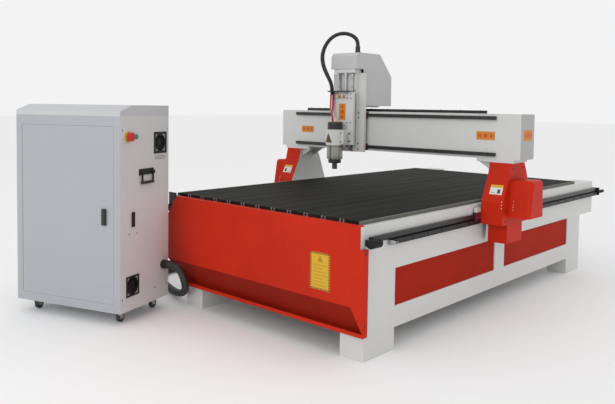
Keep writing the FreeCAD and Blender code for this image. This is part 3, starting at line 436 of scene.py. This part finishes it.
def dress_leads():
    """Three leads side by side from the hose's end to the spindle cap."""
    top_x, top_y, top_z = -0.364, -0.292, 1.3295
    middle_x, foot_x, foot_y = -0.340, -0.309, -0.347
    for offset, radius, drop, mat, word in ((-0.0135, 0.006, 0.018, red_cable, "red"),
                                            (-0.0005, 0.004, 0.0, white_cable, "white"),
                                            (0.0123, 0.006, -0.016, red_cable, "red_front")):
        x0, x1, y1 = top_x + 0.8 * offset, foot_x + offset, foot_y + drop
        route = [(x0, top_y, top_z), (x0, top_y, 1.285), (x0 + 0.003, -0.300, 1.235),
                 (middle_x + offset, y1 + 0.022, 1.196), (x1, y1, 1.172), (x1, y1, 1.140)]
        lead, line, length = swept("spindle_lead_" + word, route, mat, LEAD_STEP, (radius,), 12)
        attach(lead, "z_slide")
    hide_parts("spindle_leads")


dress_conduit()
dress_hose()
dress_leads()

# ---------------------------------------------------------------- shared places and profiles, in millimetres
X, Y, Z = Vector((1, 0, 0)), Vector((0, 1, 0)), Vector((0, 0, 1))
SIDES = (("right", 1), ("left", -1))
# Rails and racks: the face that carries the screws, and the height of the rails' middle.
Y_RAIL_FACE, Y_RACK_FACE, Y_RAIL_Z = 780, 784, 605
X_RAIL_FACE, X_RAIL_Z = -173, (970, 1191)
Z_RAIL_FACE = -237
# Panel, leg covers (the front slopes back above the bend) and cabinet: outer faces.
PANEL_FACE = -1390
LEG_IN, COVER_OUT, COVER_FRONT, COVER_BEND_Z = 788, 925, -250, 693
CAB_SIDE = 758.0
# Carriage and Z slide: middle, front faces, spindle axis and radii.
CARR_X, CARR_FACE, Z_PLATE_FACE = -285, -203, -273
SPINDLE_Y, SPINDLE_R, CLAMP_R = -347, 55.0, 64.1
# Hole pitch of a rail, and thread pitch of the screw.
RAIL_PITCH, SCREW_PITCH = 60, 10


def plug(radius):
    """Profile of a plug nearly flush in a rail's screw hole."""
    return [(radius, -0.5), (radius, 0.08), (radius - 0.6, 0.14)]


def pan_head(radius, rim, socket, shoulder=1.0, height=1.8, sunk=0.5):
    """Profile of a sloping screw head with a round socket."""
    return [(radius, -sunk), (radius, shoulder), (rim, height), (socket, height), (socket, shoulder)]


def seal_outline(near, far, rail_face):
    """Block end seal with a notch for the rail, as (away from the rail's seat, across it) points."""
    half, notch = 21.6, 11.6
    return [(near, -half), (far, -half), (far, half), (near, half), (near, notch), (rail_face, notch),
            (rail_face, -notch), (near, -notch)]


def rivet(radius, rim):
    """Profile of a small domed head."""
    return [(radius, -0.4), (radius, 0.6), (rim, 1.2)]


# ---------------------------------------------------------------- steel base
def y_axis_details(side, sign):
    """Rail plugs, rack bolts, and the seals, cover and cap of the blocks on one side."""
    plugs = Solid()
    for i in range(50):
        plugs.lathe((sign * Y_RAIL_FACE, -1290 + RAIL_PITCH * i, Y_RAIL_Z), (sign, 0, 0), plug(5.2), 12)
    plugs.finish("y_rail_plugs_" + side, bolt_black, "base", "rack_steel")
    bolts = Solid()
    for i in range(20):
        bolts.screw((sign * Y_RACK_FACE, -1120 + 146 * i, 572), (sign, 0, 0), 5.0, 3.0)
    bolts.finish("y_rack_bolts_" + side, bolt_black, "base", "rack_steel")
    seals = Solid()
    for y in (-305, -225, 55, 135):
        outline = [(sign * x, y - 2.5, Y_RAIL_Z + z) for x, z in seal_outline(765.8, 788.2, 780.6)]
        seals.plate(outline if sign < 0 else outline[::-1], (0, 5, 0))
    seals.finish("y_block_seals_" + side, seal_red, "gantry", "block_steel", 0.6)
    cover = Solid().box(*sorted((sign * LEG_IN, sign * (LEG_IN + 1.2))), -302, -250.6, 586, 624)
    cover.finish("y_block_cover_" + side, seal_red, "gantry", "block_steel", 0)
    cap = Solid().box(*sorted((sign * 767, sign * 789)), -304, -250.6, 626.2, 654)
    cap.finish("y_block_cap_" + side, zinc_bright, "gantry", "block_steel", 3.0)


def front_panel_details():
    """Side screws of the front panel, and a black plate of painted shade on the left beam's end."""
    screws = Solid()
    for z in (540, 190):
        screws.lathe((785, -1371, z), X, pan_head(5.5, 3.5, 1.8), 16)
    screws.finish("front_panel_screws", bolt_black, "base", "rack_steel")
    # Painted shade: a black plate where the gap past the panel's left corner is in shadow.
    cover = Solid().box(-817, -742, -1358, -1352.2, 557, 688)
    cover.finish("left_end_painted_shade", black, "base", "black_plastic", 2.0)


def panel_label():
    """Yellow plate with a dashed border, plain rules and a plain triangle."""
    x0, x1, z0, z1 = 441, 574, 317, 509
    sheet = Solid().box(x0, x1, PANEL_FACE - 0.5, PANEL_FACE + 0.1, z0, z1)
    sheet.finish("panel_label", label_yellow, "base", "red_paint", 0)
    back, front = PANEL_FACE - 0.4, PANEL_FACE - 1.0
    pitch, dash, half = 12.9, 7, 4.4
    marks = Solid()
    for i in range(15):
        z = z0 + 4 + i * pitch
        for x in (x0 + 5, x1 - 5):
            marks.box(x - half, x + half, front, back, z, z + dash)
    for i in range(10):
        x = x0 + 5 + i * pitch
        for z in (z0 + 4.8, z1 - 4.8):
            marks.box(x, x + dash, front, back, z - half, z + half)
    marks.finish("panel_label_border", label_brown, "base", "red_paint", 0)
    rows = Solid()
    for i in range(7):
        z = 340 + i * 17
        rows.box(463, 552 - (i % 3) * 11, PANEL_FACE - 0.9, back, z, z + 3.2)
    rows.plate([(489, back, 462), (527, back, 462), (508, back, 494)], (0, -0.5, 0))
    rows.finish("panel_label_lines", label_line, "base", "red_paint", 0)


for side, sign in SIDES:
    y_axis_details(side, sign)
front_panel_details()
panel_label()


# ---------------------------------------------------------------- gantry
def arrow_label(name, body, centre, across, up, out, half_w, half_h, upright=False):
    """Orange plate with two plain arrows and a square between them."""
    centre, across, up, out = Vector(centre), Vector(across), Vector(up), Vector(out)

    def flat(points, lift, depth):
        return [centre + across * a + up * b + out * lift for a, b in points], out * depth

    back = Solid()
    back.plate(*flat([(-half_w, -half_h), (half_w, -half_h), (half_w, half_h), (-half_w, half_h)], -0.2, 0.7))
    back.finish(name, label_orange, body, "white_paint", 0)
    ink = Solid()
    long, short = (half_h, half_w) if upright else (half_w, half_h)
    for s in (-1, 1):
        tip = [(s * long * 0.86, 0), (s * long * 0.5, short * 0.6), (s * long * 0.5, -short * 0.6)]
        pts = [(b, a) for a, b in tip] if upright else tip
        ink.plate(*flat(pts, 0.5, 0.4))
    q = short * 0.42
    ink.plate(*flat([(-q, -q), (q, -q), (q, q), (-q, q)], 0.5, 0.4))
    ink.finish(name + "_marks", label_arrow, body, "white_paint", 0)


def beam_details():
    """Plugs along the X rails, bolts in the X rack and the seals of the carriage's blocks."""
    for z in X_RAIL_Z:
        plugs = Solid()
        for i in range(27):
            plugs.lathe((-780 + RAIL_PITCH * i, X_RAIL_FACE, z), -Y, plug(5.2), 12)
        plugs.finish("x_rail_plugs_%d" % z, bolt_black, "gantry", "rack_steel")
    bolts = Solid()
    for i in range(11):
        bolts.screw((-760 + 143 * i, -66, 1235), Z, 3.8, 2.0)
    bolts.finish("x_rack_bolts", bolt_black, "gantry", "rack_steel")
    seals = Solid()
    for z in X_RAIL_Z:
        for x in (-426, -356, -214, -144):
            outline = [(x - 2.5, y, z + across) for y, across in seal_outline(-156.6, -183.2, -173.6)]
            seals.plate(outline, (5, 0, 0))
    seals.finish("x_block_seals", seal_red, "x_carriage", "block_steel", 0.6)


def cover_sticker(side, sign):
    """Plain sticker on the sloping front of the leg cover."""
    def on_cover(x, z, lift):
        y = COVER_FRONT + (z - COVER_BEND_Z) * 0.5
        return (sign * x, y - lift, z)

    for name, mat, x0, x1, z0, z1, lift in (("white", label_white, 826, 905, 738, 778, 0.6),
                                            ("yellow", label_yellow, 826, 905, 778, 793, 0.6),
                                            ("mark", label_dark, 874, 892, 745, 768, 0.9),
                                            ("grey", label_grey, 833, 862, 746, 750, 0.9)):
        corners = [on_cover(x0, z0, lift), on_cover(x1, z0, lift), on_cover(x1, z1, lift),
                   on_cover(x0, z1, lift)]
        piece = Solid().plate(corners, (0, 0.5, 0))
        piece.finish("cover_sticker_%s_%s" % (name, side), mat, "gantry", "red_paint", 0)


def cover_details(side, sign):
    """Bolts and rivets of the leg cover and motor box, and the bolts under the beam."""
    bolts = Solid()
    for y, z in ((-205, 640), (-205, 580), (95, 640), (95, 580), (-120, 890), (10, 890)):
        bolts.screw((sign * COVER_OUT, y, z), (sign, 0, 0), 5.0, 2.5)
    bolts.finish("cover_bolts_" + side, bolt_black, "gantry", "red_paint")
    rivets = Solid()
    for z in (661, 680, 699):
        y = COVER_FRONT + max(0, z - COVER_BEND_Z) * 0.5
        rivets.lathe((sign * 918, y, z), -Y, rivet(3.4, 2.4), 12)
    for z in (648, 666, 680, 701):
        y = -185 + (z - 605) * 36 / 220
        rivets.lathe((sign * 955, y, z), -Y, rivet(2.8, 2), 12)
    rivets.finish("cover_rivets_" + side, zinc_bright, "gantry", "red_paint")
    bolts = Solid()
    for y in (-140, -100, -28, 12):
        bolts.screw((sign * 875, y, 923), -Z, 6, 5)
    bolts.finish("flange_bolts_" + side, zinc, "gantry", "rack_steel")


arrow_label("beam_label_left", "gantry", (-716, -155, 1075), X, Z, -Y, 61, 24)
arrow_label("beam_label_right", "gantry", (755, -155, 1082), X, Z, -Y, 62, 26)
arrow_label("beam_label_end", "gantry", (981, -58, 1090), Y, Z, X, 58, 31)
arrow_label("slide_label", "z_slide", (CARR_X, Z_PLATE_FACE, 1212), X, Z, -Y, 30, 57, True)
beam_details()
for side, sign in SIDES:
    cover_sticker(side, sign)
    cover_details(side, sign)


# ---------------------------------------------------------------- carriage and Z slide
def carriage_details():
    """Bolts of the carriage plate, painted shade for its slots, plugs of the Z rails and the turns of the
    screw.
    """
    bolts = Solid()
    for x in (-194, -376):
        for z in (1173, 1206, 952, 992):
            bolts.screw((x, CARR_FACE, z), -Y, 5.5, 1.6)
    bolts.finish("carriage_bolts", bolt_black, "x_carriage", "rack_steel")
    # Painted shade: thin grey sheets on the face where the slots are.
    slot_shades = Solid()
    for x in (-214, -356):
        for z0, z1 in ((1281, 1369), (1085, 1159)):
            slot_shades.box(x - 5, x + 5, -221.35, -220.8, z0, z1)
    slot_shades.finish("column_slot_shadows", slot_shadow, "x_carriage", "white_paint", 0)
    for s, side in ((-1, "left"), (1, "right")):
        plugs = Solid()
        for i in range(9):
            plugs.lathe((CARR_X + s * 56, Z_RAIL_FACE, 965 + RAIL_PITCH * i), -Y, plug(4.2), 12)
        plugs.finish("z_rail_plugs_" + side, bolt_black, "x_carriage", "rack_steel")
    thread = Solid()
    ridge = [(8.0, 0), (8.6, 2.2), (8.6, 3.4), (8.0, 5.6)]
    for i in range(48):
        thread.lathe((CARR_X, Z_RAIL_FACE, 975 + SCREW_PITCH * i), Z, ridge, 16)
    thread.finish("z_screw_thread", ground, "z_screw", "ground_steel")


def z_plate_details():
    """Screws of the Z plate: three in each right row, two in each left row."""
    bolts = Solid()
    for x in (44, 76):
        for z in (1339, 1306, 1136):
            bolts.screw((CARR_X + x, Z_PLATE_FACE, z), -Y, 4.6, 1.6)
    for x in (-44, -76):
        for z in (1339, 1306):
            bolts.screw((CARR_X + x, Z_PLATE_FACE, z), -Y, 4.6, 1.6)
    bolts.finish("z_plate_bolts", bolt_black, "z_slide", "rack_steel")


def clamp_details():
    """Bolts and ears of the spindle clamp, and a plain triangle wrapped round its front."""
    bolts = Solid()
    for x in (83, -83):
        for z in (1008, 1062):
            bolts.screw((CARR_X + x, -291, z), -Y, 5.5, 5.0)
    for z in (1005, 1066):
        bolts.screw((CARR_X + 62, SPINDLE_Y - 12, z), -Y, 5.0, 5.0)
    bolts.finish("clamp_bolts", bolt_black, "z_slide", "rack_steel")
    ears = Solid()
    for y in (-12, 2):
        ears.box(CARR_X + 60, CARR_X + 84, SPINDLE_Y + y, SPINDLE_Y + y + 10, 990, 1081)
    ears.finish("clamp_ears", white, "z_slide", "white_paint", 1.5)

    facing, half, height, foot_z, step = math.radians(264), 32, 66, 1000, 4
    triangle = Solid()
    for w0 in range(-half, half, step):
        feet, tops = [], []
        for w in (w0, w0 + step):
            angle = facing + w / CLAMP_R
            foot = Vector((CARR_X + CLAMP_R * math.cos(angle), SPINDLE_Y + CLAMP_R * math.sin(angle), foot_z))
            feet.append(foot)
            if abs(w) < half:
                tops.insert(0, foot + Z * height * (1 - abs(w) / half))
        middle = facing + (w0 + step / 2) / CLAMP_R
        triangle.plate(feet + tops, (0.5 * math.cos(middle), 0.5 * math.sin(middle), 0))
    triangle.finish("clamp_triangle", label_olive, "z_slide", "white_paint", 0)


def spindle_details():
    """Rings round the spindle, pipe fittings, and the fittings and bolts of its cap."""
    rings = Solid()
    for z in (889, 899, 972):
        ring = [(SPINDLE_R, 0), (SPINDLE_R + 0.5, 0.4), (SPINDLE_R + 0.5, 2.6), (SPINDLE_R, 3)]
        rings.lathe((CARR_X, SPINDLE_Y, z), Z, ring, 48)
    rings.lathe((CARR_X, SPINDLE_Y, 856), Z, [(36, 0), (44, 1), (44.5, 3), (44.5, 26), (43, 28.6)], 48)
    rings.finish("spindle_rings", black, "z_slide", "black_plastic")
    elbows = Solid()
    for x in (-305, -268):
        elbows.lathe((x, -300, 1308), Z, [(7, 0), (7, 8), (9, 8), (9, 16), (6, 16), (6, 26)], 12)
        elbows.lathe((x, Z_PLATE_FACE, 1312), -Y, [(6, -0.5), (6, 24), (5, 26)], 12)
    elbows.finish("brass_fittings", brass, "z_slide", "aluminium")
    stubs = Solid()
    for x, y in ((CARR_X + 23, SPINDLE_Y), (CARR_X, SPINDLE_Y + 29)):
        stubs.lathe((x, y, 1139.6), Z, [(9, 0), (9, 6), (7, 7), (7, 18), (5, 20)], 16)
    stubs.finish("cap_fittings", brass, "z_slide", "aluminium")
    bolts = Solid()
    for i in range(4):
        w = math.radians(45 + 90 * i)
        bolts.screw((CARR_X + 44 * math.cos(w), SPINDLE_Y + 44 * math.sin(w), 1139.8), Z, 3.2, 2.2)
    bolts.finish("cap_bolts", bolt_black, "z_slide", "rack_steel")


def hood_details():
    """Side screws of the hood and the nut of the hose gland."""
    screws = Solid()
    for s in (-1, 1):
        for z in (1488, 1285):
            screws.lathe((CARR_X + s * 115, -170, z), (s, 0, 0), pan_head(5, 3, 1.6), 14)
    screws.finish("hood_screws", bolt_black, "x_carriage", "rack_steel")
    nut = Solid().lathe((-262, -138, 1624), Z, [(20.5, 0), (20.5, 11), (18.5, 13)], 6)
    nut.finish("hose_gland_nut", black, "x_carriage", "black_plastic", 0.8)


carriage_details()
z_plate_details()
clamp_details()
spindle_details()
hood_details()


# ---------------------------------------------------------------- cabinet, in its own turned frame
def cabinet_controls():
    """Painted shade for the air slits, and the rings round the two buttons."""
    # Painted shade: thin dark sheets on the side wall where the air slits are.
    slit_shades = Solid(CABINET)
    for z in (922, 931, 940):
        slit_shades.box(CAB_SIDE - 0.3, CAB_SIDE + 0.25, 319, 420, z - 1.5, z + 1.5)
    slit_shades.finish("cabinet_slit_shadows", slit_shadow, "base", "cabinet_paint", 0)
    collar = Solid(CABINET)
    profile = [(30.4, 0.1), (30.4, 7.4), (28.6, 8.5), (25.5, 8.5), (25.5, 8.1)]
    collar.lathe((CAB_SIDE, 65, 1063), X, profile, 36)
    collar.finish("estop_ring", yellow_ring, "base", "black_plastic")
    bezel = Solid(CABINET)
    profile = [(15.3, 0.1), (15.3, 5.6), (14.3, 7.3), (11.6, 7.3), (11.6, 6.9)]
    bezel.lathe((CAB_SIDE, 137, 1062), X, profile, 32)
    bezel.finish("start_bezel", zinc, "base", "zinc_plate")


def cabinet_fasteners():
    """Screws of the side wall and the fan grilles, and the lock in the door latch."""
    screws = Solid(CABINET)
    for b, z in ((78, 511), (148, 508), (321, 153), (440, 1100), (440, 150), (18, 1100), (18, 150)):
        screws.lathe((CAB_SIDE, b, z), X, pan_head(4.5, 3.0, 1.5, 0.6, 1.2, 0.4), 14)
    screws.finish("cabinet_screws", bolt_black, "base", "rack_steel")
    for name, b, z, half in (("upper", 370, 1019, 60), ("lower", 107.5, 213.5, 55)):
        pins = Solid(CABINET)
        for sb in (-1, 1):
            for sz in (-1, 1):
                pins.screw((CAB_SIDE + 3, b + sb * half * 0.88, z + sz * half * 0.9), X, 3.4, 1.4)
        pins.finish("fan_screws_" + name, bolt_black, "base", "rack_steel")
    lock = Solid(CABINET)
    lock.lathe((650, -14, 640), -Y, [(7, -0.5), (7, 1.2), (5, 1.8), (2, 1.8), (2, 0.8)], 20)
    lock.finish("latch_lock", dark_metal, "door_latch", "rack_steel")


cabinet_controls()
cabinet_fasteners()

# ---------------------------------------------------------------- studio and camera, in metres
FLOOR_HALF, FLOOR_DROP = 60, 0.0005
CAMERA_PLACE = (2.72598, -3.92366, 1.24691)
CAMERA_HEADING, CAMERA_DIP, CAMERA_ROLL = 42.69, 3.04, 0.78
CAMERA_LENS, CAMERA_SENSOR = 39.37, 36
CAMERA_SHIFT = (0.00498, -0.0977)


def add_floor():
    h = FLOOR_HALF
    mesh = bpy.data.meshes.new("floor")
    mesh.from_pydata([(-h, -h, 0), (h, -h, 0), (h, h, 0), (-h, h, 0)], [], [(0, 1, 2, 3)])
    mesh.materials.append(material("studio_floor", (0.93, 0.93, 0.93), 0.9, specular=0.1))
    floor = bpy.data.objects.new("floor", mesh)
    floor.location = (0, 0, -FLOOR_DROP)
    scene.collection.objects.link(floor)


def add_world(strength):
    world = bpy.data.worlds.new("studio")
    world.use_nodes = True
    background = world.node_tree.nodes["Background"]
    background.inputs["Color"].default_value = (1.0, 1.0, 1.0, 1)
    background.inputs["Strength"].default_value = strength
    scene.world = world


def soft_light(name, place, aim, width, power):
    data = bpy.data.lights.new(name, "AREA")
    data.shape = "DISK"
    data.size = width
    data.energy = power
    lamp = bpy.data.objects.new(name, data)
    lamp.location = place
    lamp.rotation_euler = (Vector(aim) - Vector(place)).to_track_quat("-Z", "Y").to_euler()
    scene.collection.objects.link(lamp)


def add_camera():
    """Camera at the photo's viewpoint, dipped and rolled a little."""
    heading, dip, roll = (math.radians(a) for a in (CAMERA_HEADING, CAMERA_DIP, CAMERA_ROLL))
    ahead = Vector((-math.sin(heading) * math.cos(dip), math.cos(heading) * math.cos(dip), -math.sin(dip)))
    right = ahead.cross(Z).normalized()
    upward = right.cross(ahead)
    cam_x = right * math.cos(roll) + upward * math.sin(roll)
    cam_y = upward * math.cos(roll) - right * math.sin(roll)
    turned = Matrix((cam_x, cam_y, -ahead)).transposed().to_4x4()
    turned.translation = Vector(CAMERA_PLACE)
    data = bpy.data.cameras.new("camera")
    data.sensor_width = CAMERA_SENSOR
    data.lens = CAMERA_LENS
    data.shift_x, data.shift_y = CAMERA_SHIFT
    camera = bpy.data.objects.new("camera", data)
    camera.matrix_world = turned
    scene.collection.objects.link(camera)
    scene.camera = camera


add_floor()
add_world(0.90)
soft_light("key", (0.5, -8.0, 3.5), (0.2, 0, 0.8), 3.5, 100)
add_camera()
scene.view_settings.view_transform = "Standard"
